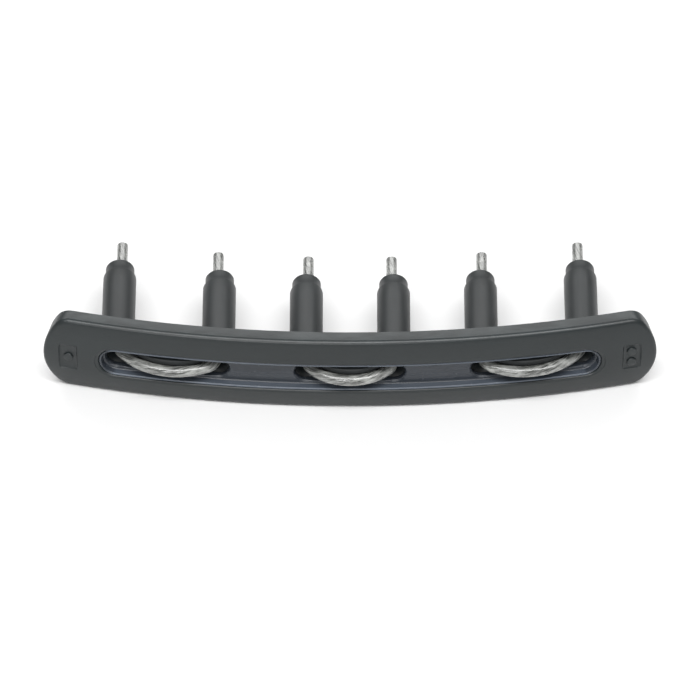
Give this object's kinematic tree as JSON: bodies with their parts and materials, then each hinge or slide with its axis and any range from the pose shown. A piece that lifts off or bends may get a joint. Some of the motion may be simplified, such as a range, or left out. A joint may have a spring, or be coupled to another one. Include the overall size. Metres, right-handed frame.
{
  "type": "racket throat grommet strip",
  "caption": "Curved moulded strip with a soft damping insert, string barrels and short string loops over saddle pads, for the throat bridge of a racket.",
  "frame": {"origin": "on the curved seat, under the middle of the strip", "axes": "+X along the strip, +Y through the bridge towards the strings, +Z to one face side of the racket"},
  "size_m": [0.07, 0.0233, 0.01],
  "materials": {
    "shell": "satin moulded nylon",
    "insert": "smooth elastomer",
    "barrel": "satin moulded nylon",
    "pad": "matt elastomer",
    "string": "glossy coated string"
  },
  "bodies": {
    "strip": {"cover_plate": "shell", "damping_core": "insert", "barrel_1": "barrel", "barrel_2": "barrel", "barrel_3": "barrel", "barrel_4": "barrel", "barrel_5": "barrel", "barrel_6": "barrel", "saddle_pad_left": "pad", "saddle_pad_centre": "pad", "saddle_pad_right": "pad"},
    "loop_left": {"string_loop_left": "string"},
    "loop_centre": {"string_loop_centre": "string"},
    "loop_right": {"string_loop_right": "string"}
  },
  "joints": [
    {"name": "loop_left_pull", "type": "slide", "parent": "strip", "child": "loop_left", "axis": [0, -1, 0], "range_m": [0, 0.01]},
    {"name": "loop_centre_pull", "type": "slide", "parent": "strip", "child": "loop_centre", "axis": [0, -1, 0], "range_m": [0, 0.01]},
    {"name": "loop_right_pull", "type": "slide", "parent": "strip", "child": "loop_right", "axis": [0, -1, 0], "range_m": [0, 0.01]}
  ]
}
